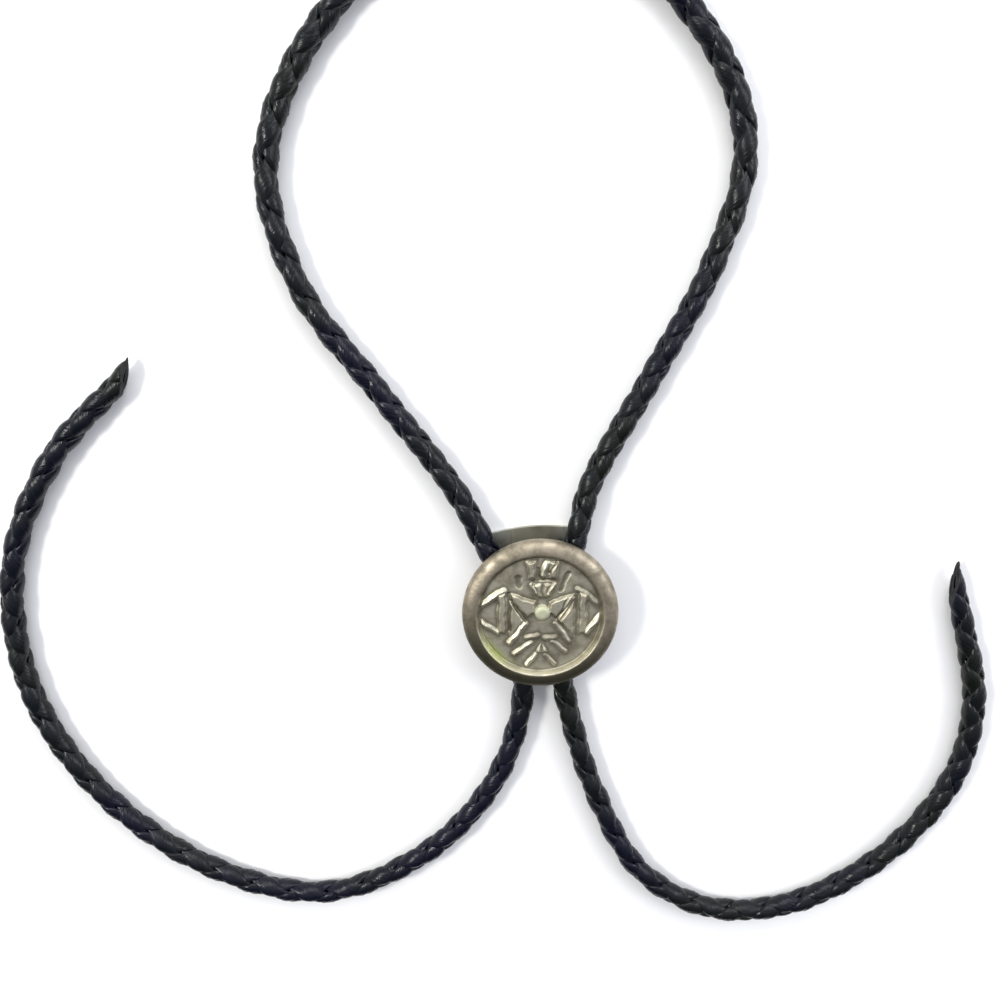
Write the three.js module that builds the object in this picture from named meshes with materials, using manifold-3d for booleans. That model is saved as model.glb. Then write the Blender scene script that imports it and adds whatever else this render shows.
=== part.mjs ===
// Bolo tie: a braided leather cord that runs through a metal slide.
// The slide is a cast round concho with a plain sheet-metal clasp on its back.
// Millimetres, +Z up. The tie lies on the plane z = 0 with the neck loop towards +Y.
// The origin is under the centre of the concho, in the plane of the clasp's flat back.
import * as THREE from 'three';
import { mergeVertices } from 'three/addons/utils/BufferGeometryUtils.js';
import Module from 'manifold-3d';

const wasm = await Module();
wasm.setup();

// Driving sizes
const GAP = 0.3; // clearance between touching pieces
const WELD = 1e-4; // points closer than this are one
const CORD_DIAMETER = 6;
const CORD_SIDES = 10;
const CORD_STEPS = 78;
const CORD_LIFT = 0.1; // keeps the cord off the plane it lies on
const CONCHO_DIAMETER = 38;
const CONCHO_SEGMENTS = 72;
const SHEET = 1.2; // thickness of the clasp's metal
const CLASP_TURN = THREE.MathUtils.degToRad(5); // the clasp sits a little askew
const CLASP_OFFSET = -0.8; // and a little to the left
const CLEARANCE = 0.7; // room over the cords, under the concho

// Heights worked out from them
const CORD_RADIUS = CORD_DIAMETER / 2;
const LYING = CORD_RADIUS + CORD_LIFT; // centre of the cord on the table
const PLAY = 0.5; // room round the cord inside the clasp
const HELD = SHEET + PLAY + CORD_RADIUS; // centre of the cord inside the clasp
const CONCHO_BACK = HELD + CORD_RADIUS + CLEARANCE; // flat back of the concho
const CLIMB_ABOVE = 0.7; // the cord is this far up the ramp just above the slide
const CLIMB_BELOW = 0.3; // and this far just below it

// Concho profile: a rounded rim round a sunken field
const CONCHO_RADIUS = CONCHO_DIAMETER / 2;
const RIM_WIDTH = 3.4; // from the outer edge in to the ridge
const RIM_RISE = 2.0; // from the outer edge up to the ridge
const EDGE_HEIGHT = 1.2; // outer edge above the back
const BACK_BEVEL = 0.4;
const RIDGE_WIDTH = 0.3;
const RIDGE_FALL = 0.1; // the ridge's top slopes in by this much
const WALL_RUN = 0.8; // slope of the rim's inner wall
const FIELD_DEPTH = 1.6; // field below the ridge
const RIM_FACETS = 6;
const RIDGE_RADIUS = CONCHO_RADIUS - RIM_WIDTH;
const FIELD_RADIUS = RIDGE_RADIUS - RIDGE_WIDTH - WALL_RUN;
const RIDGE_Z = CONCHO_BACK + EDGE_HEIGHT + RIM_RISE;
const FIELD_Z = RIDGE_Z - FIELD_DEPTH;

// Raised motif in the field
const MOTIF_X = 0.5; // the motif is struck a little off centre
const MOTIF_Y = 0.5;
const BOSS_RADIUS = 2.0;
const BOSS_HEIGHT = 1.0;
const BOSS_SEGMENTS = [20, 12]; // round it, and from pole to pole
const SINK = 0.4; // how far raised bars run down into the field
const BAR_COLUMNS = ['fromX', 'fromY', 'toX', 'toY', 'wide', 'high'];
const BAR_ROWS = [ // each row is struck twice, mirrored left to right
  [8.9, 5.6, 13.3, 2.2, 1.3, 0.9], // upper flight
  [13.5, -1.6, 10.7, -5.0, 1.3, 0.9], // lower flight
  [9.8, 4.8, 9.8, -5.4, 2.0, 0.7], // pillar
  [1.6, 0.9, 7.4, 4.7, 1.3, 0.9], // upper arm
  [1.5, -1.4, 7.0, -7.5, 1.2, 0.9], // lower arm
  [5.4, 11.7, 3.9, 8.8, 1.3, 0.7], // outer crown ray
  [3.0, 12.8, 2.0, 9.4, 1.1, 0.9], // middle crown ray
  [0.8, 13.1, 0.6, 9.6, 0.8, 0.7], // inner crown ray
  [2.8, 7.6, 1.4, 4.7, 0.9, 0.8], // collar
  [1.0, -6.3, 3.6, -6.3, 1.1, 0.8], // foot bar
  [2.9, -7.9, 6.3, -10.2, 1.2, 0.9], // foot flight
  [1.5, -10.6, 3.2, -12.9, 1.0, 0.9], // foot ray
];
const SIDE_WEDGE = [[8.2, 4.2], [8.2, -7.0], [3.9, -2.0]]; // raised triangle beside each pillar
const FOOT_WEDGE = [[0, -7.2], [1.6, -10.5], [-1.6, -10.5]];
const WEDGE_HEIGHT = 0.6;

// Clasp, in its own turned frame: x across the two cords, y along them
const PLATE_TOP = 19.6;
const PLATE_HALF = 10.5; // half width of the flat upper part
const PLATE_SHOULDER = 3; // where the upper part reaches its full width
const PLATE_CORNER = 2.4;
const PLATE_CROWN = 0.7; // bow of the top edge
const CHANNEL_X = 4.8; // cord line beside the clasp's centre line
const CHANNEL_FROM = -14; // lower end of the rolled sides, and of the plate
const CHANNEL_TO = -6;
const CHANNEL_LIP = THREE.MathUtils.degToRad(42); // how far the rolled side curls over the cord
const CHANNEL_SEGMENTS = 14;
const CORNER_SEGMENTS = 10;
const STUD_RADIUS = 1.8;
const STUD_SEGMENTS = 24;
const SOCKET_DEPTH = 1.0;

// Cord route from the left tip through the slide, round the neck and back to the right tip
const ROUTE_COLUMNS = ['x', 'y', 'z'];
const ROUTE_ROWS = [
  [-97, 57.5, LYING], // left tip
  [-117, 37, LYING],
  [-130, 9, LYING],
  [-129.5, -24, LYING],
  [-115, -53, LYING],
  [-88, -76, LYING],
  [-57, -84, LYING],
  [-29.5, -71.5, LYING],
  [-11.5, -50.5, LYING],
  [-4.3, -28.5, LYING + CLIMB_BELOW],
  [-4.4, -14.5, HELD], // in the clasp
  [-6.6, 1, HELD],
  [-13.8, 17, HELD],
  [-20.5, 29.5, LYING + CLIMB_ABOVE],
  [-38, 53, LYING],
  [-55.5, 77.5, LYING],
  [-61.5, 103, LYING],
  [-53.5, 125, LYING],
  [-33, 146, LYING],
  [-7.5, 153, LYING], // back of the neck
  [18, 146, LYING],
  [38.4, 125, LYING],
  [44.3, 106, LYING],
  [38.5, 82.5, LYING],
  [26, 57.5, LYING],
  [12, 31, LYING + CLIMB_ABOVE],
  [9, 19, HELD], // in the clasp
  [4.6, 1.5, HELD],
  [5.2, -13.5, HELD],
  [7.8, -28.5, LYING + CLIMB_BELOW],
  [15.5, -53.5, LYING],
  [28.5, -77.5, LYING],
  [47.5, -89, LYING],
  [70, -87.5, LYING],
  [94, -72, LYING],
  [109, -49.5, LYING],
  [112, -28, LYING],
  [106.2, -4.5, LYING],
  [101.8, 9, LYING], // right tip
];

// Turns rows of numbers into objects with named columns.
function table(columns, rows) {
  return rows.map((row) => Object.fromEntries(columns.map((name, i) => [name, row[i]])));
}

// Makes a solid for joining and cutting from a closed geometry.
function solid(geometry) {
  const bare = geometry.clone();
  bare.deleteAttribute('normal');
  bare.deleteAttribute('uv');
  const merged = mergeVertices(bare, WELD);
  return new wasm.Manifold(new wasm.Mesh({
    numProp: 3,
    vertProperties: new Float32Array(merged.attributes.position.array),
    triVerts: new Uint32Array(merged.index.array),
  }));
}

// Turns a solid back into a geometry with flat facets.
function geometryOf(shape) {
  const mesh = shape.getMesh();
  const indexed = new THREE.BufferGeometry();
  indexed.setAttribute('position', new THREE.BufferAttribute(mesh.vertProperties, 3));
  indexed.setIndex(new THREE.BufferAttribute(mesh.triVerts, 1));
  const flat = indexed.toNonIndexed();
  flat.computeVertexNormals();
  return flat;
}

function extrude(shape, depth, curveSegments = CORNER_SEGMENTS) {
  return new THREE.ExtrudeGeometry(shape, { depth, bevelEnabled: false, curveSegments });
}

function piece(name, geometry, color, roughness, metalness) {
  const material = new THREE.MeshStandardMaterial({ color, roughness, metalness });
  const mesh = new THREE.Mesh(geometry, material);
  mesh.name = name;
  return mesh;
}

// Half of the concho's outline, from the middle of the back round the rim to the middle of the field.
function conchoProfile() {
  const edgeZ = CONCHO_BACK + EDGE_HEIGHT;
  const profile = [
    new THREE.Vector2(0, CONCHO_BACK),
    new THREE.Vector2(CONCHO_RADIUS - BACK_BEVEL, CONCHO_BACK),
    new THREE.Vector2(CONCHO_RADIUS, CONCHO_BACK + BACK_BEVEL),
  ];
  for (let i = 0; i <= RIM_FACETS; i += 1) {
    const angle = (i / RIM_FACETS) * Math.PI / 2;
    const radius = RIDGE_RADIUS + RIM_WIDTH * Math.cos(angle);
    profile.push(new THREE.Vector2(radius, edgeZ + RIM_RISE * Math.sin(angle)));
  }
  profile.push(new THREE.Vector2(RIDGE_RADIUS - RIDGE_WIDTH, RIDGE_Z - RIDGE_FALL));
  profile.push(new THREE.Vector2(FIELD_RADIUS, FIELD_Z));
  profile.push(new THREE.Vector2(0, FIELD_Z));
  return profile;
}

// A straight raised bar standing on the field.
function motifBar(row, side) {
  const dx = (row.toX - row.fromX) * side;
  const dy = row.toY - row.fromY;
  const bar = new THREE.BoxGeometry(Math.hypot(dx, dy), row.wide, row.high + SINK);
  bar.rotateZ(Math.atan2(dy, dx));
  bar.translate(
    MOTIF_X + side * (row.fromX + row.toX) / 2,
    MOTIF_Y + (row.fromY + row.toY) / 2,
    FIELD_Z + (row.high - SINK) / 2,
  );
  return solid(bar);
}

// A raised triangle standing on the field.
function motifWedge(corners, side) {
  const points = corners.map(([x, y]) => new THREE.Vector2(MOTIF_X + side * x, MOTIF_Y + y));
  const shape = new THREE.Shape(points);
  const wedge = extrude(shape, WEDGE_HEIGHT + SINK);
  wedge.translate(0, 0, FIELD_Z - SINK);
  return solid(wedge);
}

function motifBoss() {
  const boss = new THREE.SphereGeometry(BOSS_RADIUS, ...BOSS_SEGMENTS);
  boss.rotateX(Math.PI / 2);
  boss.scale(1, 1, BOSS_HEIGHT / BOSS_RADIUS);
  boss.translate(MOTIF_X, MOTIF_Y, FIELD_Z);
  return solid(boss);
}

function stud(radius, from, to) {
  const pin = new THREE.CylinderGeometry(radius, radius, to - from, STUD_SEGMENTS);
  pin.rotateX(Math.PI / 2);
  pin.translate(0, 0, (from + to) / 2);
  return pin;
}

function conchoGeometry() {
  const disc = new THREE.LatheGeometry(conchoProfile(), CONCHO_SEGMENTS);
  disc.rotateX(Math.PI / 2);
  let concho = solid(disc);
  const bars = table(BAR_COLUMNS, BAR_ROWS);
  for (const side of [1, -1]) {
    for (const row of bars) concho = concho.add(motifBar(row, side));
    concho = concho.add(motifWedge(SIDE_WEDGE, side));
  }
  concho = concho.add(motifWedge(FOOT_WEDGE, 1)).add(motifBoss());
  const socket = stud(STUD_RADIUS + GAP, CONCHO_BACK - SOCKET_DEPTH, CONCHO_BACK + SOCKET_DEPTH);
  socket.translate(CLASP_OFFSET, 0, 0);
  return geometryOf(concho.subtract(solid(socket)));
}

// Outline of the clasp's flat sheet: narrow between the rolled sides, wider above them,
// with rounded corners and a slightly bowed top edge.
function plateShape() {
  const shape = new THREE.Shape();
  const shoulder = PLATE_TOP - PLATE_CROWN;
  const straight = PLATE_HALF - PLATE_CORNER;
  shape.moveTo(-CHANNEL_X, CHANNEL_FROM);
  shape.lineTo(CHANNEL_X, CHANNEL_FROM);
  shape.lineTo(CHANNEL_X, CHANNEL_TO);
  shape.lineTo(PLATE_HALF, PLATE_SHOULDER);
  shape.lineTo(PLATE_HALF, shoulder - PLATE_CORNER);
  shape.quadraticCurveTo(PLATE_HALF, shoulder, straight, shoulder);
  shape.quadraticCurveTo(0, PLATE_TOP + PLATE_CROWN, -straight, shoulder);
  shape.quadraticCurveTo(-PLATE_HALF, shoulder, -PLATE_HALF, shoulder - PLATE_CORNER);
  shape.lineTo(-PLATE_HALF, PLATE_SHOULDER);
  shape.lineTo(-CHANNEL_X, CHANNEL_TO);
  return shape;
}

// One rolled side of the clasp: a ring sector that carries on from the flat sheet
// and curls round the cord from under it up over its outer side.
function rolledSide(side) {
  const start = -Math.PI / 2;
  const shape = new THREE.Shape();
  shape.absarc(0, 0, HELD, start, CHANNEL_LIP, false);
  shape.absarc(0, 0, HELD - SHEET, CHANNEL_LIP, start, true);
  shape.closePath();
  const wall = extrude(shape, CHANNEL_TO - CHANNEL_FROM, CHANNEL_SEGMENTS);
  wall.rotateX(Math.PI / 2);
  if (side < 0) wall.rotateZ(Math.PI);
  wall.translate(side * CHANNEL_X, side > 0 ? CHANNEL_TO : CHANNEL_FROM, HELD);
  return solid(wall);
}

function claspGeometry() {
  let clasp = solid(extrude(plateShape(), SHEET));
  clasp = clasp.add(solid(stud(STUD_RADIUS, SHEET / 2, CONCHO_BACK + SOCKET_DEPTH - GAP)));
  for (const side of [1, -1]) clasp = clasp.add(rolledSide(side));
  return geometryOf(clasp);
}

function cordPath() {
  const points = table(ROUTE_COLUMNS, ROUTE_ROWS).map((row) => new THREE.Vector3(row.x, row.y, row.z));
  return new THREE.CatmullRomCurve3(points, false, 'centripetal');
}

function cordGeometry() {
  const corners = [];
  for (let i = 0; i < CORD_SIDES; i += 1) {
    const angle = ((i + 0.5) / CORD_SIDES) * 2 * Math.PI;
    corners.push(new THREE.Vector2(CORD_RADIUS * Math.cos(angle), CORD_RADIUS * Math.sin(angle)));
  }
  return new THREE.ExtrudeGeometry(new THREE.Shape(corners), {
    steps: CORD_STEPS,
    extrudePath: cordPath(),
    bevelEnabled: false,
  });
}

const tie = new THREE.Group();
tie.add(piece('braided_cord', cordGeometry(), 0x1b1c22, 0.35, 0));
tie.add(piece('concho', conchoGeometry(), 0x8f8a78, 0.4, 1));
const clasp = piece('back_clasp', claspGeometry(), 0x77756a, 0.45, 1);
clasp.position.x = CLASP_OFFSET;
clasp.rotation.z = CLASP_TURN;
tie.add(clasp);

export default tie;
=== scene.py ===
"""Bolo tie: a four-lace braided leather cord that runs through a cast metal slide.

The slide is a round concho with a struck motif, on a plain clasp of sheet metal. Every size is
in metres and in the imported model's frame: +Z up, the neck loop towards +Y, the tie lying on z = 0.
"""
import math

import bmesh
import bpy
import numpy as np
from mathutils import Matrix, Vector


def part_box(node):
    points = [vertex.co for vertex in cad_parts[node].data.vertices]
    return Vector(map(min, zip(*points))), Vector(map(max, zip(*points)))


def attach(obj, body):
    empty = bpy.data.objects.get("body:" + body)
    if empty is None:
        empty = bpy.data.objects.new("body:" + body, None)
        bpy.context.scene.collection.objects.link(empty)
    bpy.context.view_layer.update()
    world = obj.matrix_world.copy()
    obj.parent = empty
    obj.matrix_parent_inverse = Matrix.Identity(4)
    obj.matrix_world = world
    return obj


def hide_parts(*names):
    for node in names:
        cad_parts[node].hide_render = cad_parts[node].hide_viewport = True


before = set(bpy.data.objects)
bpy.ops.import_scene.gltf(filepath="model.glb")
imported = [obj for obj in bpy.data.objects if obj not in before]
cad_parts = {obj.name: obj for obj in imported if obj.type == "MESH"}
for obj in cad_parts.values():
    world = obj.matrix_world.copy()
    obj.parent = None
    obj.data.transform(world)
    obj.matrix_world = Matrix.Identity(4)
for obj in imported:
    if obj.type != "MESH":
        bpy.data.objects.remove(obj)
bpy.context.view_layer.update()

bl_info = {
    "name": "Bolo tie",
    "version": (1, 0, 0),
    "blender": (4, 5, 0),
    "location": "View3D > Sidebar > Bolo tie",
    "description": "Makes a braided leather bolo tie with a cast metal slide",
    "category": "Add Mesh",
}

MM = 0.001
BODY = "root"
SEED = 11

# Middle line of the cord in millimetres, from the left tip through the slide, round the neck,
# back through the slide and out to the right tip
LYING = 3.1  # centre of the cord on the table
HELD = 4.7  # centre of the cord inside the clasp
ROUTE = [
    (-97, 57.5, LYING),  # left tip
    (-117, 37, LYING),
    (-130, 9, LYING),
    (-129.5, -24, LYING),
    (-115, -53, LYING),
    (-88, -76, LYING),
    (-57, -84, LYING),
    (-29.5, -71.5, LYING),
    (-11.5, -50.5, LYING),
    (-4.3, -28.5, LYING + 0.3),
    (-4.4, -14.5, HELD),  # in the clasp
    (-6.6, 1, HELD),
    (-13.8, 17, HELD),
    (-20.5, 29.5, LYING + 0.7),
    (-38, 53, LYING),
    (-55.5, 77.5, LYING),
    (-61.5, 103, LYING),
    (-53.5, 125, LYING),
    (-33, 146, LYING),
    (-7.5, 153, LYING),  # back of the neck
    (18, 146, LYING),
    (38.4, 125, LYING),
    (44.3, 106, LYING),
    (38.5, 82.5, LYING),
    (26, 57.5, LYING),
    (12, 31, LYING + 0.7),
    (9, 19, HELD),  # in the clasp
    (4.6, 1.5, HELD),
    (5.2, -13.5, HELD),
    (7.8, -28.5, LYING + 0.3),
    (15.5, -53.5, LYING),
    (28.5, -77.5, LYING),
    (47.5, -89, LYING),
    (70, -87.5, LYING),
    (94, -72, LYING),
    (109, -49.5, LYING),
    (112, -28, LYING),
    (106.2, -4.5, LYING),
    (101.8, 9, LYING),  # right tip
]

# Struck motif in millimetres from the boss. A ridge runs from one point to another.
RIDGE_COLUMNS = ("from_x", "from_y", "to_x", "to_y", "wide", "high", "wear_and_highlight")
# A ridge's last column is how bright it is drawn: partly real wear, partly painted highlight where the ridge faces the
# light
RIDGES = [
    (-15.3, 1.4, -9.4, 5.6, 1.6, 1.1, 1.0),  # left upper flight
    (-15.4, -2.2, -10.7, -5.2, 1.3, 0.9, 0.7),  # left lower flight
    (14.0, 2.0, 8.6, 6.1, 1.5, 0.6, 0.2),  # right upper flight
    (14.2, -0.8, 10.8, -5.2, 1.5, 1.1, 1.0),  # right lower flight
    (-4.1, -3.0, -7.8, -8.0, 1.6, 1.1, 0.8),  # left lower arm
    (3.2, -2.8, 6.5, -7.4, 1.1, 0.5, 0.1),  # right lower arm
    (1.0, 12.8, 0.1, 9.8, 1.4, 1.1, 1.0),  # bright crown ray
    (-3.4, 12.9, -2.8, 9.0, 1.1, 0.6, 0.5),  # left crown ray
    (2.8, 7.5, 1.5, 4.8, 1.0, 0.9, 0.9),  # right collar
    (-2.6, 7.3, -1.5, 4.9, 0.9, 0.45, 0.1),  # left collar
    (-3.7, -6.4, -1.2, -6.1, 1.4, 0.6, 0.4),  # left foot bar
    (0.6, -6.6, 3.2, -6.4, 1.4, 0.5, 0.2),  # right foot bar
    (-2.8, -8.0, -6.8, -10.6, 1.2, 0.9, 0.7),  # left foot flight
    (2.6, -7.6, 5.6, -10.0, 1.1, 0.4, 0.0),  # right foot flight
    (-1.6, -10.9, -3.6, -13.7, 1.0, 0.9, 0.7),  # left foot ray
    (1.0, -11.2, 3.0, -13.4, 1.0, 0.4, 0.0),  # right foot ray
    (4.6, 3.4, 2.3, 0.6, 1.1, 0.95, 0.5),  # right upper arm's crest
    (7.5, 3.9, 4.2, -1.6, 0.9, 0.65, 0.2),  # right wedge's crest
]
GROOVE_COLUMNS = ("from_x", "from_y", "to_x", "to_y", "wide", "deep")
GROOVES = [
    (-8.1, 5.0, -8.0, -4.6, 0.7, 0.5),  # beside the left pillar
    (-7.6, 2.9, -4.1, -2.2, 0.7, 0.6),  # between the left arm and wedge
    (6.2, 3.9, 3.4, -1.6, 0.7, 0.5),  # between the right arm and wedge
    (-0.9, 11.4, -0.7, 8.8, 0.6, 0.5),  # in the crown
    (3.4, 13.2, 1.8, 10.2, 0.7, 0.5),
    (6.1, 10.1, 4.3, 5.8, 1.5, 0.4),
    (-0.8, 8.4, 2.4, 8.3, 0.7, 0.5),  # across under the crown
    (-5.9, 8.8, -5.7, 6.9, 2.0, 0.35),
    (-2.3, 8.1, -2.1, 7.2, 0.8, 0.4),
]
# Flat raised plates: height over the field, then corners in order, each struck left and right
PLATES = [
    (0.7, [(8.6, 5.8), (11.0, 4.8), (11.0, -5.3), (8.6, -5.6)]),  # pillar
    (0.5, [(8.0, 4.0), (8.0, -7.2), (3.9, -2.2)]),  # wedge
    (0.75, [(7.8, 5.3), (7.6, 3.4), (3.8, -1.5), (1.3, 0.0), (1.4, 3.0)]),  # upper arm
    (0.5, [(3.9, 13.0), (1.5, 13.4), (1.6, 8.7), (3.6, 8.5)]),  # crown block
    (0.45, [(0.0, 7.7), (2.3, 7.6), (1.2, 3.8), (0.0, 3.8)]),  # neck under the crown
    (0.45, [(0.0, -7.2), (1.7, -10.6), (0.0, -10.6)]),  # foot wedge
]


def linear(code):
    """The linear colour, with alpha 1, of an sRGB hex code such as '#8F8A78'."""
    parts = [int(code[i:i + 2], 16) / 255 for i in (1, 3, 5)]
    return [c / 12.92 if c <= 0.04045 else ((c + 0.055) / 1.055) ** 2.4 for c in parts] + [1.0]


def colour_property(name, description, code):
    return bpy.props.FloatVectorProperty(
        name=name, description=description, subtype="COLOR", size=4, min=0, max=1, default=linear(code)
    )


def length_property(name, description, millimetres):
    return bpy.props.FloatProperty(
        name=name, description=description, default=millimetres * MM, min=0, unit="LENGTH", precision=5
    )


class CordSettings(bpy.types.PropertyGroup):
    """Sizes and dyes of the braided cord."""

    diameter: length_property("Diameter", "Width of the braid over its high crossings", 6)
    pitch: length_property("Pitch", "Length of cord in which a lace goes round once", 21)
    lace_width: length_property("Lace width", "Width of one leather lace", 5.4)
    lace_thickness: length_property("Lace thickness", "Thickness of one leather lace", 1.6)
    weave: length_property("Weave", "How far a lace rises and dips at its crossings", 0.45)
    blue_dye: colour_property("Blue-black dye", "Main dye of the leather", "#0A0C1A")
    green_dye: colour_property("Green-black dye", "Dye where it has faded", "#10140F")
    crease: colour_property("Crease", "Leather in stretched creases", "#20222A")
    cut_end: colour_property("Cut end", "Leather where the cord is cut", "#1C1916")


class ConchoSettings(bpy.types.PropertyGroup):
    """Sizes and colours of the cast concho."""

    rim_width: length_property("Rim width", "From the outer edge to the ridge", 3.1)
    rim_rise: length_property("Rim rise", "From the outer edge up to the ridge", 2.0)
    field_depth: length_property("Field depth", "From the ridge down to the field", 1.6)
    wall_run: length_property("Wall run", "Width of the slope from the ridge to the field", 1.0)
    ridge_width: length_property("Ridge width", "Width of the ridge's flat top", 0.3)
    boss_radius: length_property("Boss radius", "Radius of the boss in the middle", 2.0)
    boss_height: length_property("Boss height", "Height of the boss over the field", 1.0)
    tan: colour_property("Tan metal", "Handled metal of the rim", "#A89E8A")
    grey: colour_property("Grey metal", "Dulled metal of the field", "#C2BDA6")
    # Also the colour of the painted highlights on the ridges and on the inner wall away from the neck loop
    bright: colour_property("Worn metal", "Metal rubbed bright on the ridges", "#EAE6D0")
    # Also the colour of the painted shade on the rim away from the neck loop
    dark: colour_property("Tarnish", "Tarnish in the grooves", "#4A4838")
    # A paler copy of the field's metal: painted light on the boss
    boss: colour_property("Boss", "Metal of the boss", "#CCCDB2")
    # Painted highlight: the yellow-green tint of the light in the field's lower-left corner
    green: colour_property("Green tarnish", "Tarnish in the corner of the field", "#B4C060")


class ClaspSettings(bpy.types.PropertyGroup):
    """Colours of the sheet-metal clasp."""

    metal: colour_property("Metal", "Dulled sheet metal", "#AAA897")
    # Painted light: the lighter colour the plate is drawn in towards both ends
    lighter_metal: colour_property("Rubbed metal", "Metal where the cords rub", "#CDCEC4")


class StageSettings(bpy.types.PropertyGroup):
    """Camera, lights and floor."""

    lens: bpy.props.FloatProperty(
        name="Lens", description="Focal length in millimetres on a 36 mm sensor", default=36, min=10
    )
    tilt: bpy.props.FloatProperty(
        name="Tilt", description="Camera's lean from straight down", default=math.radians(16), subtype="ANGLE"
    )
    key: bpy.props.FloatProperty(
        name="Key light", description="Radiance of the key light", default=58, min=0
    )
    fill: bpy.props.FloatProperty(
        name="Fill light", description="Radiance of the fill light", default=6, min=0
    )
    floor: colour_property("Floor", "Colour of the floor", "#F6F6F4")


class BoloTieSettings(bpy.types.PropertyGroup):
    """Everything about the tie that a user would change."""

    cord: bpy.props.PointerProperty(type=CordSettings, name="Cord", description="The braided cord")
    concho: bpy.props.PointerProperty(type=ConchoSettings, name="Concho", description="The cast front")
    clasp: bpy.props.PointerProperty(type=ClaspSettings, name="Clasp", description="The sheet-metal back")
    stage: bpy.props.PointerProperty(type=StageSettings, name="Stage", description="Camera and light")


# Mesh helpers


def smoothstep(low, high, x):
    """Nought below low, one above high, and a smooth S between."""
    t = np.clip((x - low) / (high - low), 0, 1)
    return t * t * (3 - 2 * t)


def wander(along, period, rng, waves=4):
    """A smooth seeded wobble of about -1 to 1: sines of shrinking period, each with its own phase."""
    rate = 1.73 ** np.arange(waves)
    phase = rng.uniform(0, 2 * np.pi, waves)
    terms = np.sin(2 * np.pi * np.asarray(along)[..., None] * rate / period + phase) / rate ** 0.5
    return terms.sum(-1) / (rate ** -0.5).sum()


def ring_wander(angle, rng, waves=5):
    """A smooth seeded wobble of about -1 to 1 that meets itself after a whole turn."""
    rate = np.arange(1, waves + 1)
    phase = rng.uniform(0, 2 * np.pi, waves)
    return (np.sin(angle[:, None] * rate + phase) / rate).sum(-1) / (1 / rate).sum()


def tube_quads(rings, around, first=0):
    """Faces of a grid of rings that closes round each ring: ring i joins ring i + 1."""
    i, j = np.meshgrid(np.arange(rings - 1), np.arange(around), indexing="ij")
    k = (j + 1) % around
    corners = np.stack([i * around + j, i * around + k, (i + 1) * around + k, (i + 1) * around + j], -1)
    return first + corners.reshape(-1, 4)


def fan(ring, centre, outward):
    """Triangles that close a ring of vertex numbers to one centre vertex."""
    after = np.roll(ring, -1)
    order = (ring, after) if outward else (after, ring)
    return np.stack([*order, np.full(len(ring), centre)], -1)


def make_piece(name, points, faces, materials):
    """An object at the origin with these points and faces, smooth."""
    mesh = bpy.data.meshes.new(name)
    mesh.from_pydata(np.asarray(points, float).reshape(-1, 3), [], [f.tolist() for part in faces for f in part])
    mesh.polygons.foreach_set("use_smooth", np.ones(len(mesh.polygons), bool))
    for material in materials:
        mesh.materials.append(material)
    piece = bpy.data.objects.new(name, mesh)
    bpy.context.scene.collection.objects.link(piece)
    return piece


def store(piece, name, values):
    """Keeps one number a vertex on the piece, for its material to read."""
    attribute = piece.data.attributes.new(name, "FLOAT", "POINT")
    attribute.data.foreach_set("value", np.asarray(values, np.float32).ravel())


def face_outwards(piece):
    """Turns the faces of each closed shell outwards."""
    shells = bmesh.new()
    shells.from_mesh(piece.data)
    bmesh.ops.recalc_face_normals(shells, faces=shells.faces)
    shells.to_mesh(piece.data)
    shells.free()


# Material helper


def add_node(tree, kind, inputs=None, **settings):
    """Adds a node: settings are its own properties, and inputs maps a socket to a value or an output."""
    node = tree.nodes.new(kind)
    for key, value in settings.items():
        setattr(node, key, value)
    for socket, value in (inputs or {}).items():
        if isinstance(value, bpy.types.NodeSocket):
            tree.links.new(value, node.inputs[socket])
        else:
            node.inputs[socket].default_value = value
    return node


def new_material(name):
    """An empty material and its node tree, with only the output node."""
    material = bpy.data.materials.new(name)
    material.use_nodes = True
    material.node_tree.nodes.clear()
    return material, material.node_tree


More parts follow.
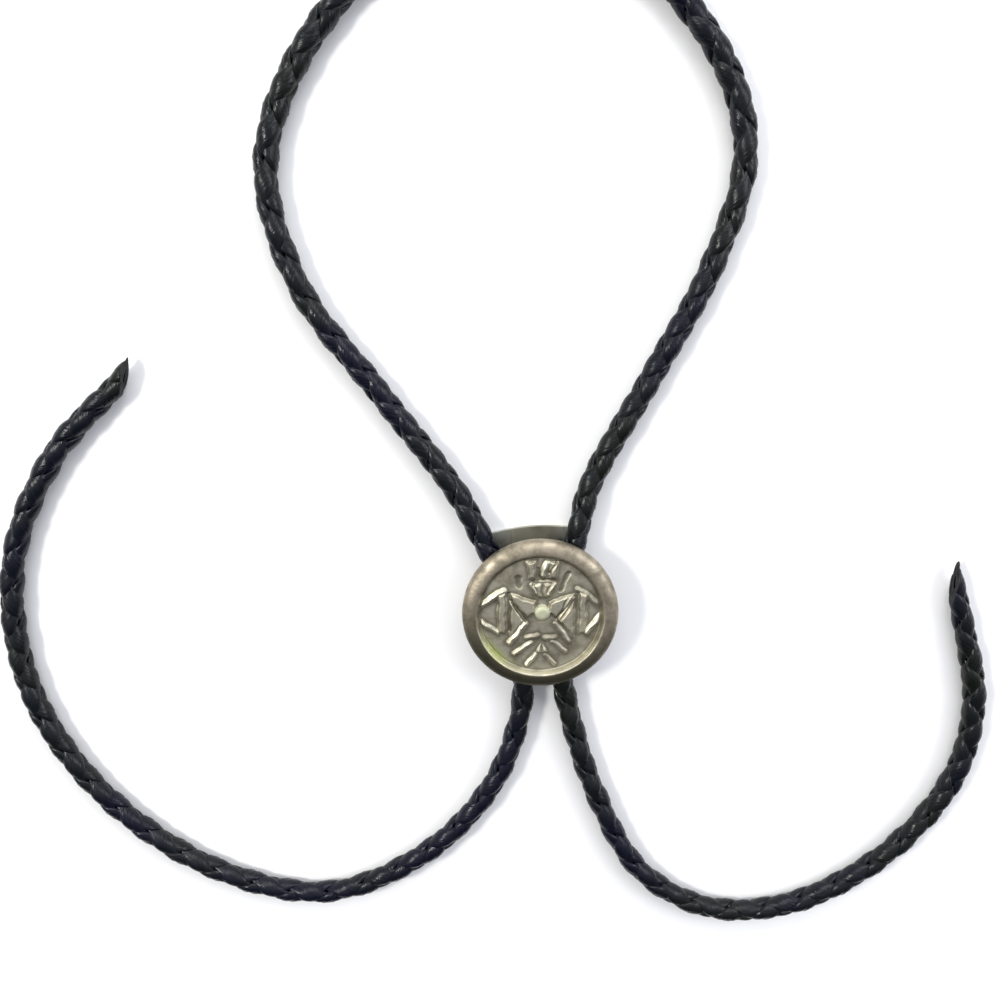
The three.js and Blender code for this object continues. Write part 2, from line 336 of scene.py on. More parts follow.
def leather_material(settings):
    """Glazed, drum-dyed cowhide lace: a soft broken shine over a fine grain, with stretch creases
    that run along the lace and edges a little duller than its face."""
    material, tree = new_material("glazed_cowhide_lace")
    uv = add_node(tree, "ShaderNodeUVMap", uv_map="lace").outputs["UV"]
    place = add_node(tree, "ShaderNodeTexCoord").outputs["Object"]
    # Grain 0.45 mm across is drawn a little coarser than real, so that it shows
    grain = add_node(tree, "ShaderNodeTexVoronoi", {"Vector": uv, "Scale": 1 / (0.55 * MM)})
    along = add_node(tree, "ShaderNodeMapping", {"Vector": uv, "Scale": (1 / (7 * MM), 1 / (0.45 * MM), 1)})
    creases = add_node(tree, "ShaderNodeTexNoise", {"Vector": along.outputs[0], "Scale": 1, "Detail": 4})
    fade = add_node(tree, "ShaderNodeTexNoise", {"Vector": place, "Scale": 1 / (38 * MM), "Detail": 3})
    fade_mix = add_node(tree, "ShaderNodeMapRange", {0: fade.outputs[0], 1: 0.42, 2: 0.62})
    dye = add_node(
        tree, "ShaderNodeMix",
        {"Factor": fade_mix.outputs[0], "A": settings.blue_dye, "B": settings.green_dye}, data_type="RGBA",
    )
    crease_mix = add_node(tree, "ShaderNodeMapRange", {0: creases.outputs[0], 1: 0.5, 2: 0.8, 3: 0, 4: 0.55})
    colour = add_node(
        tree, "ShaderNodeMix",
        {0: crease_mix.outputs[0], 6: dye.outputs[2], 7: settings.crease}, data_type="RGBA",
    )
    blotch = add_node(tree, "ShaderNodeTexNoise", {"Vector": place, "Scale": 1 / (5 * MM), "Detail": 3})
    rough = add_node(tree, "ShaderNodeMapRange", {0: blotch.outputs[0], 1: 0.3, 2: 0.7, 3: 0.16, 4: 0.36})
    fine = add_node(
        tree, "ShaderNodeBump",
        {"Height": grain.outputs["Distance"], "Strength": 0.35, "Distance": 0.06 * MM},
    )
    bump = add_node(
        tree, "ShaderNodeBump",
        {"Height": creases.outputs[0], "Strength": 0.6, "Distance": 0.25 * MM, "Normal": fine.outputs[0]},
    )
    shader = add_node(
        tree, "ShaderNodeBsdfPrincipled",
        {"Base Color": colour.outputs[2], "Roughness": rough.outputs[0], "Normal": bump.outputs[0],
         "IOR": 1.42, "Specular IOR Level": 0.32},
    )
    add_node(tree, "ShaderNodeOutputMaterial", {"Surface": shader.outputs[0]})
    return material


def cut_end_material(settings):
    """Raw cut leather: dark, matt and fibrous, with no glaze."""
    material, tree = new_material("cut_leather_end")
    place = add_node(tree, "ShaderNodeTexCoord").outputs["Object"]
    fibres = add_node(tree, "ShaderNodeTexNoise", {"Vector": place, "Scale": 1 / (0.4 * MM), "Detail": 5})
    shade = add_node(tree, "ShaderNodeMapRange", {0: fibres.outputs[0], 1: 0.3, 2: 0.7, 3: 0, 4: 0.6})
    colour = add_node(
        tree, "ShaderNodeMix",
        {0: shade.outputs[0], 6: settings.cut_end, 7: settings.crease}, data_type="RGBA",
    )
    bump = add_node(
        tree, "ShaderNodeBump", {"Height": fibres.outputs[0], "Strength": 0.6, "Distance": 0.15 * MM}
    )
    shader = add_node(
        tree, "ShaderNodeBsdfPrincipled",
        {"Base Color": colour.outputs[2], "Roughness": 0.85, "Normal": bump.outputs[0]},
    )
    add_node(tree, "ShaderNodeOutputMaterial", {"Surface": shader.outputs[0]})
    return material


def concho_material(settings):
    """Cast brass, aged and handled: tan where fingers polish the rim, grey in the field, rubbed
    bright along the struck ridges, partly as painted highlight, and tarnished dark in the grooves, over a fine sandy
    casting skin. Painted shade darkens the rim away from the neck loop, painted highlight lightens the inner wall
    there and tints the field's lower-left corner yellow-green, and the boss is painted in a paler copy of the field's
    metal."""
    material, tree = new_material("aged_cast_brass")
    place = add_node(tree, "ShaderNodeTexCoord").outputs["Object"]
    # Of the masks below, the first holds real wear with painted highlight, the second tarnish with painted shade, and
    # the green one a painted yellow-green highlight tint
    wear_and_highlight = add_node(tree, "ShaderNodeAttribute", attribute_name="wear_and_highlight").outputs["Fac"]
    tarnish_and_shade = add_node(tree, "ShaderNodeAttribute", attribute_name="tarnish_and_shade").outputs["Fac"]
    rim = add_node(tree, "ShaderNodeAttribute", attribute_name="rim").outputs["Fac"]
    boss = add_node(tree, "ShaderNodeAttribute", attribute_name="boss").outputs["Fac"]
    green = add_node(tree, "ShaderNodeAttribute", attribute_name="green").outputs["Fac"]
    sand = add_node(tree, "ShaderNodeTexNoise", {"Vector": place, "Scale": 1 / (0.6 * MM), "Detail": 4})
    cloud = add_node(tree, "ShaderNodeTexNoise", {"Vector": place, "Scale": 1 / (2.4 * MM), "Detail": 4})
    patch = add_node(tree, "ShaderNodeTexNoise", {"Vector": place, "Scale": 1 / (4.5 * MM), "Detail": 3})
    warm = add_node(tree, "ShaderNodeMapRange", {0: patch.outputs[0], 1: 0.45, 2: 0.62, 3: 0, 4: 0.75})
    warmed = add_node(tree, "ShaderNodeMath", {0: warm.outputs[0], 1: rim}, operation="MAXIMUM")
    body = add_node(
        tree, "ShaderNodeMix", {0: warmed.outputs[0], 6: settings.grey, 7: settings.tan}, data_type="RGBA"
    )
    clouded = add_node(tree, "ShaderNodeMapRange", {0: cloud.outputs[0], 1: 0.42, 2: 0.66, 3: 0, 4: 0.5})
    mottled = add_node(
        tree, "ShaderNodeMix",
        {0: clouded.outputs[0], 6: body.outputs[2], 7: settings.dark}, data_type="RGBA",
    )
    # Painted highlight: yellow-green tint in the field's lower-left corner
    greened = add_node(
        tree, "ShaderNodeMix", {0: green, 6: mottled.outputs[2], 7: settings.green}, data_type="RGBA"
    )
    # Painted light: the boss is drawn in a paler copy of the field's metal
    bossed = add_node(
        tree, "ShaderNodeMix", {0: boss, 6: greened.outputs[2], 7: settings.boss}, data_type="RGBA"
    )
    # Rubbed bright where worn, and painted highlight on the ridges and inner wall that face the light
    lighter_metal = add_node(
        tree, "ShaderNodeMix", {0: wear_and_highlight, 6: bossed.outputs[2], 7: settings.bright}, data_type="RGBA"
    )
    # Tarnish in the grooves and round the wall's foot, with painted shade on the rim away from the neck loop
    aged = add_node(
        tree, "ShaderNodeMix", {0: tarnish_and_shade, 6: lighter_metal.outputs[2], 7: settings.dark}, data_type="RGBA"
    )
    duller = add_node(tree, "ShaderNodeMapRange", {0: cloud.outputs[0], 1: 0.3, 2: 0.7, 3: 0.42, 4: 0.6})
    rough = add_node(
        tree, "ShaderNodeMath", {0: wear_and_highlight, 1: -0.12, 2: duller.outputs[0]}, operation="MULTIPLY_ADD"
    )
    matt = add_node(
        tree, "ShaderNodeMath", {0: boss, 1: 0.2, 2: rough.outputs[0]}, operation="MULTIPLY_ADD"
    )
    bump = add_node(
        tree, "ShaderNodeBump", {"Height": sand.outputs[0], "Strength": 0.5, "Distance": 0.1 * MM}
    )
    shader = add_node(
        tree, "ShaderNodeBsdfPrincipled",
        {"Base Color": aged.outputs[2], "Metallic": 1.0, "Roughness": matt.outputs[0],
         "Normal": bump.outputs[0]},
    )
    add_node(tree, "ShaderNodeOutputMaterial", {"Surface": shader.outputs[0]})
    return material


def clasp_material(settings):
    """Rolled sheet brass, dulled to olive grey: faint drawing lines, and painted light that draws the plate lighter
    towards both ends and darker in its middle.
    """
    material, tree = new_material("dulled_sheet_brass")
    place = add_node(tree, "ShaderNodeTexCoord").outputs["Object"]
    lines = add_node(tree, "ShaderNodeMapping", {"Vector": place, "Scale": (1 / (0.3 * MM), 1 / (9 * MM), 1)})
    drawn = add_node(tree, "ShaderNodeTexNoise", {"Vector": lines.outputs[0], "Scale": 1, "Detail": 3})
    cloud = add_node(tree, "ShaderNodeTexNoise", {"Vector": place, "Scale": 1 / (4 * MM), "Detail": 4})
    # Painted light: the plate is drawn lighter towards both ends and darker in its middle
    split = add_node(tree, "ShaderNodeSeparateXYZ", {0: place})
    beside = add_node(tree, "ShaderNodeMath", {0: split.outputs["X"], 1: 1.2 * MM}, operation="ADD")
    far = add_node(tree, "ShaderNodeMath", {0: beside.outputs[0]}, operation="ABSOLUTE")
    ends = add_node(tree, "ShaderNodeMapRange", {0: far.outputs[0], 1: 4 * MM, 2: 9 * MM, 3: 0, 4: 0.9})
    shade = add_node(tree, "ShaderNodeMapRange", {0: cloud.outputs[0], 1: 0.4, 2: 0.75, 3: 0, 4: 0.4})
    base = add_node(
        tree, "ShaderNodeMix", {0: ends.outputs[0], 6: settings.metal, 7: settings.lighter_metal}, data_type="RGBA"
    )
    colour = add_node(
        tree, "ShaderNodeMix",
        {0: shade.outputs[0], 6: base.outputs[2], 7: linear("#3B3A30")}, data_type="RGBA",
    )
    rough = add_node(tree, "ShaderNodeMapRange", {0: drawn.outputs[0], 1: 0.3, 2: 0.7, 3: 0.34, 4: 0.55})
    bump = add_node(
        tree, "ShaderNodeBump", {"Height": drawn.outputs[0], "Strength": 0.3, "Distance": 0.03 * MM}
    )
    shader = add_node(
        tree, "ShaderNodeBsdfPrincipled",
        {"Base Color": colour.outputs[2], "Metallic": 1.0, "Roughness": rough.outputs[0],
         "Normal": bump.outputs[0]},
    )
    add_node(tree, "ShaderNodeOutputMaterial", {"Surface": shader.outputs[0]})
    return material


# Cord


class Line:
    """The cord's middle line: evenly spaced points with a sideways and an upward direction at each,
    carried straight on past both ends for the cut."""

    SPACING = 0.5 * MM
    SPARE = 12 * MM

    def __init__(self, rows):
        """A centripetal Catmull-Rom curve through rows: each span is a cubic whose end slopes come
        from the points either side, weighted by the square roots of their distances."""
        pad = np.vstack([2 * rows[0] - rows[1], rows, 2 * rows[-1] - rows[-2]])
        p0, p1, p2, p3 = pad[:-3], pad[1:-2], pad[2:-1], pad[3:]
        d0, d1, d2 = (np.linalg.norm(b - a, axis=1)[:, None] ** 0.5 for a, b in ((p0, p1), (p1, p2), (p2, p3)))
        t1 = ((p1 - p0) / d0 - (p2 - p0) / (d0 + d1) + (p2 - p1) / d1) * d1
        t2 = ((p2 - p1) / d1 - (p3 - p1) / (d1 + d2) + (p3 - p2) / d2) * d1
        t = np.linspace(0, 1, 160, endpoint=False)[:, None, None]
        cubic = p1 + t1 * t + (3 * (p2 - p1) - 2 * t1 - t2) * t**2 + (2 * (p1 - p2) + t1 + t2) * t**3
        fine = np.vstack([cubic.transpose(1, 0, 2).reshape(-1, 3), rows[-1]])
        reach = np.concatenate([[0], np.cumsum(np.linalg.norm(np.diff(fine, axis=0), axis=1))])
        self.length = reach[-1]
        self.along = np.linspace(0, self.length, int(self.length / self.SPACING))
        self.points = np.stack([np.interp(self.along, reach, fine[:, i]) for i in range(3)], -1)
        slope = np.gradient(self.points, self.along, axis=0)
        slope /= np.linalg.norm(slope, axis=1)[:, None]
        before, after = -self.SPARE, self.SPARE
        self.reach = np.concatenate([[before], self.along, [self.length + after]])
        self.middle = np.vstack([self.points[0] + before * slope[0], self.points, self.points[-1] + after * slope[-1]])
        slope = np.vstack([slope[0], slope, slope[-1]])
        side = np.cross(slope, [0, 0, 1])
        self.side = side / np.linalg.norm(side, axis=1)[:, None]
        self.up = np.cross(self.side, slope)
        self.slope = slope

    def at(self, along, table):
        """A table's value at each distance along the line."""
        return np.stack([np.interp(along, self.reach, table[:, i]) for i in range(3)], -1)


LACES = ((1, 0.0), (1, math.pi), (-1, 0.0), (-1, math.pi))  # way round the cord, and starting angle
SECTION = 16  # points round a lace
STEPS_A_TURN = 26  # rings of a lace in one pitch
# Each end's cut: how far its middle is in from the route's end, and how far it runs along the cord
# for each step across it
CUTS = ((0.6 * MM, 1.6), (3.4 * MM, 2.3))


def lace_section(width, thickness):
    """A lace's section: a flattened superellipse, its outer face a little fuller than its inner."""
    angle = (np.arange(SECTION) + 0.5) * 2 * np.pi / SECTION
    c, s = np.cos(angle), np.sin(angle)
    across = width / 2 * np.sign(c) * np.abs(c) ** 0.8
    through = thickness / 2 * np.sign(s) * np.abs(s) ** 0.75
    return across, through


def cord_fullness(line, along):
    """How full the cord is along its length: both tails thin a little, the right one most."""
    left = 1 - 0.10 * (1 - smoothstep(0, 22 * MM, along))
    right = 1 - 0.14 * smoothstep(line.length - 34 * MM, line.length - 4 * MM, along)
    tip = 1 - 0.10 * smoothstep(line.length - 12 * MM, line.length, along)
    return left * right * tip


def lace_points(line, cord, way, start, roll, rng):
    """One lace as a grid of rings. Its middle goes round the cord at one turn a pitch, at a radius
    that rises and falls with the cosine of twice its angle, so it passes over and under by turns.
    A ring's points step across the lace at right angles to its run, and through its thickness."""
    rings = int((line.length + 2 * line.SPARE) / cord.pitch * STEPS_A_TURN)
    reach = np.linspace(-line.SPARE, line.length + line.SPARE, rings)
    across, through = lace_section(cord.lace_width, cord.lace_thickness)
    mean = (cord.diameter - cord.lace_thickness) / 2 - cord.weave
    outer = mean + cord.weave
    lean = math.atan(2 * np.pi * outer / cord.pitch)
    angle = way * 2 * np.pi * reach / cord.pitch + start + 0.05 * wander(reach, 60 * MM, rng)
    radius = mean + way * cord.weave * np.cos(2 * angle) + 0.06 * MM * wander(reach, 25 * MM, rng)
    wide = 1 + 0.07 * wander(reach, 33 * MM, rng)
    u = across[None, :] * wide[:, None]
    sides = reach[:, None] - way * math.sin(lean) * u
    turn = angle[:, None] + math.cos(lean) * u / outer + np.interp(sides, reach, roll(reach))
    out = (radius[:, None] + through[None, :]) * cord_fullness(line, sides)
    ring = np.cos(turn)[..., None] * line.at(sides, line.up) + np.sin(turn)[..., None] * line.at(sides, line.side)
    points = line.at(sides, line.middle) + out[..., None] * ring
    return points, np.stack([np.broadcast_to(reach[:, None], u.shape), u], -1)


def cut_slant(shells, line, end, back, slope):
    """Cuts every lace at one end of the cord with a slanted plane, and closes each cut."""
    at = 0 if end < 0 else -1
    tip, out, side = line.points[at], line.slope[at] * end, line.side[at]
    plane = out - slope * side
    near = [v for v in shells.verts if np.linalg.norm(np.array(v.co) - tip) < 22 * MM]
    edges = {e for v in near for e in v.link_edges}
    faces = {f for v in near for f in v.link_faces}
    middle = tip - out * back
    bmesh.ops.bisect_plane(
        shells, geom=[*near, *edges, *faces], plane_co=middle, plane_no=plane / np.linalg.norm(plane),
        clear_outer=True,
    )
    open_edges = [e for e in shells.edges if e.is_boundary and np.linalg.norm(np.array(e.verts[0].co) - tip) < 22 * MM]
    for face in bmesh.ops.holes_fill(shells, edges=open_edges, sides=0)["faces"]:
        face.material_index = 1
        face.smooth = False


class BOLO_OT_braid_cord(bpy.types.Operator):
    """Braids the leather cord along its whole route, with a slanted cut at each end"""

    bl_idname = "bolo_tie.braid_cord"
    bl_label = "Braid the cord"

    def execute(self, context):
        cord = context.scene.bolo_tie.cord
        rng = np.random.default_rng(SEED)
        line = Line(np.array(ROUTE) * MM)
        phase = rng.uniform(0, 2 * np.pi)

        def roll(reach):
            """The braid turns slowly as it lies, a quarter turn or so either way."""
            return 0.9 * np.sin(2 * np.pi * reach / (310 * MM) + phase) + 0.3 * np.sin(reach / (23 * MM))

        grids = [lace_points(line, cord, way, start, roll, rng) for way, start in LACES]
        rings = len(grids[0][0])
        faces = [tube_quads(rings, SECTION, i * rings * SECTION) for i in range(len(LACES))]
        leather, cut = leather_material(cord), cut_end_material(cord)
        piece = make_piece("braided_leather_cord", np.stack([g[0] for g in grids]), faces, [leather, cut])
        uv = np.stack([g[1] + [0, i * 9 * MM] for i, g in enumerate(grids)]).reshape(-1, 2)
        corner = np.zeros(len(piece.data.loops), np.int32)
        piece.data.loops.foreach_get("vertex_index", corner)
        layer = piece.data.uv_layers.new(name="lace")
        layer.data.foreach_set("uv", uv[corner].astype(np.float32).ravel())
        shells = bmesh.new()
        shells.from_mesh(piece.data)
        for end, (back, slope) in zip((-1, 1), CUTS):
            cut_slant(shells, line, end, back, slope)
        bmesh.ops.recalc_face_normals(shells, faces=shells.faces)
        shells.to_mesh(piece.data)
        shells.free()
        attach(piece, BODY)
        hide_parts("braided_cord")
        return {"FINISHED"}


# Concho


AROUND = 560  # points round the concho
FIELD_RINGS = 106
MOTIF_SHIFT = (0.5, 0.5)  # the motif is struck a little off centre
BEVEL = 0.8  # run of a plate's edge, in millimetres
STRAY = 0.1  # how far a line of the motif strays, in millimetres
SPREAD = 1.2  # a ridge's flanks run out this much past its listed width
RELIEF = 0.6  # and its crest is worn down to this much of its listed height
SOFTENING = 0.6  # grooves are filled in to this much of their listed depth
FLATTEST = 0.02  # the motif fades out over this share of the field at the wall


def segment_distance(x, y, row):
    """Distance from each point to a row's straight run, by clamping its projection to the ends."""
    dx, dy = row["to_x"] - row["from_x"], row["to_y"] - row["from_y"]
    t = np.clip(((x - row["from_x"]) * dx + (y - row["from_y"]) * dy) / (dx * dx + dy * dy), 0, 1)
    return np.hypot(x - row["from_x"] - t * dx, y - row["from_y"] - t * dy)


def inside_distance(x, y, corners):
    """How far each point lies inside a convex outline: the least distance in from any of its sides."""
    start = np.array(corners, float)
    run = np.roll(start, -1, axis=0) - start
    turn = np.sign(np.cross(run[0], run[1]))
    inward = np.stack([-run[:, 1], run[:, 0]], -1) / np.linalg.norm(run, axis=1)[:, None] * turn
    depth = (x[..., None] - start[:, 0]) * inward[:, 0] + (y[..., None] - start[:, 1]) * inward[:, 1]
    return depth.min(-1)


def struck_motif(x, y, settings):
    """The motif over the field at points in millimetres from the boss. Plates have a bevelled edge,
    ridges are rounded gables, grooves are the same turned down, and the boss is a low dome. Gives
    the height, how bright it is drawn, partly from wear and partly as painted highlight, and how tarnished."""
    from_boss = np.hypot(x, y)
    # The hand-cut die: every line strays a little, and the relief is struck deeper in places
    x, y = (
        x + STRAY * (np.sin(1.2 * y + 0.5 * x + 1) + 0.5 * np.sin(2.7 * y - 1.1 * x)),
        y + STRAY * (np.sin(1.1 * x - 0.6 * y + 2) + 0.5 * np.sin(2.9 * x + 0.9 * y)),
    )
    depth_struck = 0.85 + 0.15 * np.sin(0.9 * x + 1.3 * y) * np.cos(0.7 * x - 1.1 * y + 1)
    height = np.zeros_like(x)
    edge = np.full_like(x, 9.0)
    for high, corners in PLATES:
        for side in (1, -1):
            depth = inside_distance(side * x, y, corners)
            height = np.maximum(height, high * smoothstep(0, BEVEL, depth))
            edge = np.minimum(edge, np.where(depth < 0, -depth, 9))
    wear_and_highlight = 0.25 * smoothstep(0.3, 0.8, height)
    for row in (dict(zip(RIDGE_COLUMNS, r)) for r in RIDGES):
        share = segment_distance(x, y, row) / (SPREAD * row["wide"] / 2)
        gable = depth_struck * RELIEF * row["high"] * np.clip(1 - share**1.3, 0, 1)
        # A ridge is drawn as bright as its listed column says: partly wear, partly painted highlight on ridges that
        # face the light
        wear_and_highlight = np.where(gable > height, 0.6 * row["wear_and_highlight"] * smoothstep(0.1, 0.6, gable / row["high"]), wear_and_highlight)
        edge = np.minimum(edge, np.where(share > 1, (share - 1) * row["wide"] / 2, 9))
        height = np.maximum(height, gable)
    tarnish_and_shade = 0.55 * np.exp(-((edge / 0.6) ** 2)) * (1 - smoothstep(0, 0.3, height))
    for row in (dict(zip(GROOVE_COLUMNS, r)) for r in GROOVES):
        share = segment_distance(x, y, row) / (row["wide"] / 2)
        cut = np.clip(1 - share**2, 0, 1) ** 0.7
        height = height - SOFTENING * row["deep"] * cut
        wear_and_highlight = wear_and_highlight * (1 - smoothstep(0, 0.5, cut))
        tarnish_and_shade = np.maximum(tarnish_and_shade, 0.5 * smoothstep(0.05, 0.9, cut))
    radius, high = settings.boss_radius / MM, settings.boss_height / MM
    share = from_boss / radius
    dome = high * np.clip(1 - share**4, 0, 1) ** 0.6
    boss = smoothstep(0.05, 0.3, dome / high)
    height = np.where(dome > 0, np.maximum(height * (1 - boss), dome), height)
    return height, wear_and_highlight * (1 - boss), tarnish_and_shade * (1 - boss), boss


class BOLO_OT_cast_concho(bpy.types.Operator):
    """Casts the round concho: rounded rim, sunken field and struck motif"""

    bl_idname = "bolo_tie.cast_concho"
    bl_label = "Cast the concho"

    def execute(self, context):
        settings = context.scene.bolo_tie.concho
        low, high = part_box("concho")
        rng = np.random.default_rng(SEED + 1)
        radius = (high.x - low.x) / 2
        ridge = radius - settings.rim_width
        field = ridge - settings.ridge_width - settings.wall_run
        ridge_z, back_z = high.z, low.z
        field_z = ridge_z - settings.field_depth
        edge_z = ridge_z - settings.rim_rise
        # Outline from the middle of the field over the rim to the middle of the back
        wall = np.linspace(0, 1, 9)[1:]
        over = np.linspace(0, np.pi / 2, 22)
        under = np.linspace(0, np.pi / 2, 5)[1:]
        bevel = 0.4 * MM
        r = np.concatenate([
            field * np.linspace(0, 1, FIELD_RINGS + 1)[1:],
            field + settings.wall_run * wall,
            [ridge - settings.ridge_width / 2],
            ridge + settings.rim_width * np.sin(over),
            radius - bevel * (1 - np.cos(under)),
            (radius - bevel) * np.linspace(1, 0, 6)[1:-1],
        ])
        z = np.concatenate([
            np.full(FIELD_RINGS, field_z),
            field_z + settings.field_depth * smoothstep(0, 1, wall) * 0.985,
            [ridge_z - 0.01 * MM],
            edge_z + settings.rim_rise * np.cos(over),
            back_z + bevel * (1 - np.sin(under)),
            np.full(4, back_z),
        ])
        phi = np.arange(AROUND) * 2 * np.pi / AROUND
        ring = np.stack([np.cos(phi), np.sin(phi)], -1)
        # The hand-filed rim: its width and height wander a little
        filed = smoothstep(ridge * 0.97, ridge, r)[:, None]
        uneven = 1 + 0.004 * filed * ring_wander(phi, rng)[None, :]
        x = (r[:, None] * uneven) * ring[None, :, 0]
        y = (r[:, None] * uneven) * ring[None, :, 1]
        level = np.repeat(z[:, None], AROUND, 1)
        inner = r < field * (1 + 1e-6)
        fade = (1 - smoothstep(1 - FLATTEST, 1, r[inner] / field))[:, None]
        motif, wear_and_highlight, tarnish_and_shade, boss = struck_motif(
            x[inner] / MM - MOTIF_SHIFT[0], y[inner] / MM - MOTIF_SHIFT[1], settings
        )
        level[inner] += motif * fade * MM
        points = np.vstack([
            np.stack([x, y, level], -1).reshape(-1, 3),
            [[0, 0, field_z + settings.boss_height], [0, 0, back_z]],
        ])
        rings, last = len(r), len(points)
        first_ring = np.arange(AROUND)
        last_ring = first_ring + (rings - 1) * AROUND
        faces = [
            tube_quads(rings, AROUND), fan(first_ring, last - 2, True), fan(last_ring, last - 1, False)
        ]
        piece = make_piece("cast_concho", points, faces, [concho_material(settings)])
        face_outwards(piece)

        def whole(values, rest=0.0, middle=0.0):
            """Values over the field carried on to the other rings, and to the two middle points."""
            grid = np.full((rings, AROUND), float(rest))
            grid[inner] = values
            return np.append(grid.ravel(), [middle, rest])

        rim = smoothstep(field + settings.wall_run * 0.6, ridge, np.repeat(r[:, None], AROUND, 1))
        store(piece, "rim", np.append(rim.ravel(), [0, 1]))
        # Painted highlight: a yellow-green tint in the field's lower-left corner, from the field's edge up the wall
        corner = smoothstep(field * 0.9, field, r)[:, None] * (1 - smoothstep(ridge * 0.97, ridge, r))[:, None]
        foot = np.exp(-(((phi - math.radians(222)) / 0.28) ** 2))[None, :]
        store(piece, "green", np.append((0.8 * corner * foot).ravel(), [0, 0]))
        # Painted shade and highlight: the rim is drawn darker on the side away from the neck loop, and its inner wall
        # there lighter, as the light comes from the neck side
        away = (-0.35 * np.cos(phi) - 0.94 * np.sin(phi) + 0.25 * ring_wander(phi, rng))[None, :]
        painted_rim_shade = 0.85 * filed * smoothstep(-0.3, 0.8, away)
        wall_foot = np.exp(-(((r - field) / (0.35 * MM)) ** 2))[:, None]
        grid_tarnish = np.zeros((rings, AROUND))
        grid_tarnish[inner] = tarnish_and_shade
        store(piece, "tarnish_and_shade", np.append(np.maximum(grid_tarnish, np.maximum(0.4 * wall_foot, painted_rim_shade)).ravel(), [0, 0]))
        slope = np.exp(-(((r - field) / settings.wall_run - 0.6) ** 2) / 0.1)[:, None]
        painted_wall_highlight = 0.75 * slope * smoothstep(0.0, 0.6, away)
        grid_wear_and_highlight = np.zeros((rings, AROUND))
        grid_wear_and_highlight[inner] = wear_and_highlight
        store(piece, "wear_and_highlight", np.append(np.maximum(grid_wear_and_highlight, painted_wall_highlight).ravel(), [0, 0]))
        store(piece, "boss", whole(boss, middle=1.0))
        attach(piece, BODY)
        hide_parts("concho")
        return {"FINISHED"}


# Clasp


class BOLO_OT_form_clasp(bpy.types.Operator):
    """Gives the sheet-metal clasp behind the cords its finish"""

    bl_idname = "bolo_tie.form_clasp"
    bl_label = "Form the clasp"

    def execute(self, context):
        settings = context.scene.bolo_tie.clasp
        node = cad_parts["back_clasp"]
        node.data.materials.clear()
        node.data.materials.append(clasp_material(settings))
        return {"FINISHED"}


# Stage


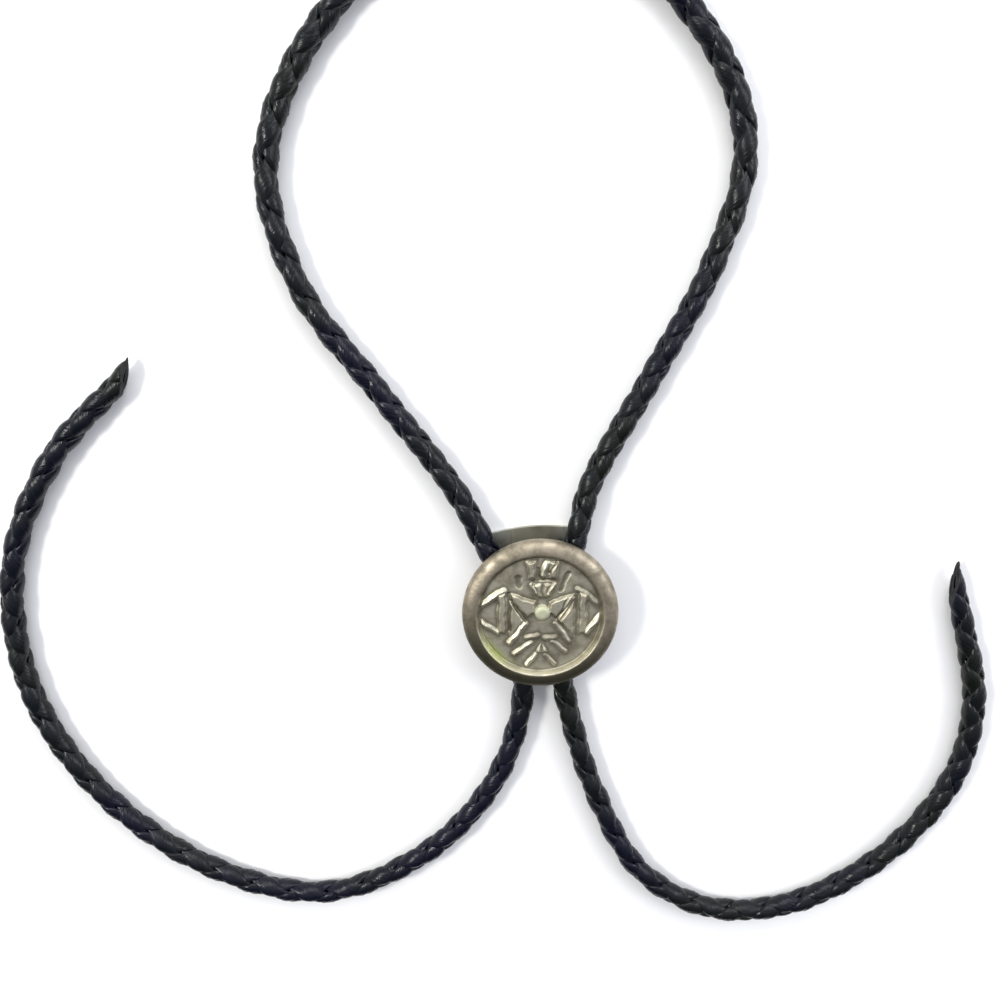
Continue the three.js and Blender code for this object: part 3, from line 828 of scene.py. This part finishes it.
class BOLO_OT_set_stage(bpy.types.Operator):
    """Sets the camera, the soft lights and the pale floor"""

    bl_idname = "bolo_tie.set_stage"
    bl_label = "Set the stage"

    def execute(self, context):
        settings = context.scene.bolo_tie.stage
        lens = bpy.data.cameras.new("camera")
        lens.lens, lens.sensor_width = settings.lens, 36
        lens.clip_start, lens.clip_end = 0.005, 50
        camera = bpy.data.objects.new("camera", lens)
        camera.location = (-9.74 * MM, 93.6 * MM, 235.57 * MM)
        camera.rotation_euler = (-settings.tilt, 0, 0)
        context.scene.collection.objects.link(camera)
        context.scene.camera = camera
        context.scene.view_settings.view_transform = "Standard"

        floor_mesh = bpy.data.meshes.new("floor")
        reach, level = 8.0, -0.05 * MM
        floor_mesh.from_pydata(
            [(-reach, -reach, level), (reach, -reach, level), (reach, reach, level), (-reach, reach, level)],
            [], [(0, 1, 2, 3)],
        )
        floor = bpy.data.objects.new("floor", floor_mesh)
        context.scene.collection.objects.link(floor)
        material, tree = new_material("white_card")
        shader = add_node(
            tree, "ShaderNodeBsdfPrincipled",
            {"Base Color": settings.floor, "Roughness": 0.7, "Specular IOR Level": 0.2},
        )
        add_node(tree, "ShaderNodeOutputMaterial", {"Surface": shader.outputs[0]})
        floor_mesh.materials.append(material)

        self.light(context, "key_light", (-0.50, 0.20, 0.62), 0.14, settings.key, "#FFFDF8")
        self.light(context, "fill_light", (0.60, 0.25, 0.50), 0.35, settings.fill, "#F4F6FF")
        self.light(context, "back_light", (0.05, 0.85, 0.55), 0.70, settings.fill * 0.6, "#FFFFFF")

        world = bpy.data.worlds.new("soft_room")
        world.use_nodes = True
        tree = world.node_tree
        tree.nodes.clear()
        # The room is bright behind the neck loop and overhead, and dim on the wearer's near side
        facing = add_node(tree, "ShaderNodeTexCoord").outputs["Generated"]
        split = add_node(tree, "ShaderNodeSeparateXYZ", {0: facing})
        bright = add_node(
            tree, "ShaderNodeMapRange", {0: split.outputs["Y"], 1: -0.75, 2: 0.1, 3: 0.08, 4: 0.80},
            interpolation_type="SMOOTHSTEP",
        )
        room = add_node(tree, "ShaderNodeBackground", {"Color": linear("#F1F3FF"), "Strength": bright.outputs[0]})
        seen = add_node(tree, "ShaderNodeBackground", {"Color": linear("#F2F2F0"), "Strength": 1.0})
        path = add_node(tree, "ShaderNodeLightPath")
        mixed = add_node(
            tree, "ShaderNodeMixShader", {0: path.outputs["Is Camera Ray"], 1: room.outputs[0], 2: seen.outputs[0]}
        )
        add_node(tree, "ShaderNodeOutputWorld", {"Surface": mixed.outputs[0]})
        context.scene.world = world
        return {"FINISHED"}

    def light(self, context, name, place, size, radiance, tint):
        """A square soft box at place, turned to the middle of the tie, of one radiance all over."""
        lamp = bpy.data.lights.new(name, "AREA")
        lamp.size = size
        lamp.energy = radiance * math.pi * size * size
        lamp.color = linear(tint)[:3]
        soft_box = bpy.data.objects.new(name, lamp)
        soft_box.location = place
        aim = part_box("concho")[0] - soft_box.location
        soft_box.rotation_euler = aim.to_track_quat("-Z", "Y").to_euler()
        context.scene.collection.objects.link(soft_box)


class BOLO_PT_panel(bpy.types.Panel):
    """Lists the tie's sizes, colours and making steps"""

    bl_idname = "BOLO_PT_panel"
    bl_label = "Bolo tie"
    bl_space_type = "VIEW_3D"
    bl_region_type = "UI"
    bl_category = "Bolo tie"

    def draw(self, context):
        tie = context.scene.bolo_tie
        for operator, group in zip(OPERATORS, (tie.stage, tie.cord, tie.concho, tie.clasp)):
            box = self.layout.box()
            box.operator(operator.bl_idname)
            for name in group.__annotations__:
                box.prop(group, name)


OPERATORS = (BOLO_OT_set_stage, BOLO_OT_braid_cord, BOLO_OT_cast_concho, BOLO_OT_form_clasp)
GROUPS = (CordSettings, ConchoSettings, ClaspSettings, StageSettings, BoloTieSettings)


def register():
    for kind in (*GROUPS, *OPERATORS, BOLO_PT_panel):
        bpy.utils.register_class(kind)
    bpy.types.Scene.bolo_tie = bpy.props.PointerProperty(type=BoloTieSettings)


def unregister():
    del bpy.types.Scene.bolo_tie
    for kind in reversed((*GROUPS, *OPERATORS, BOLO_PT_panel)):
        bpy.utils.unregister_class(kind)


def main():
    """Makes the whole tie, the camera and cord first."""
    register()
    for operator in OPERATORS:
        group, name = operator.bl_idname.split(".")
        getattr(getattr(bpy.ops, group), name)()


if __name__ == "__main__":
    main()
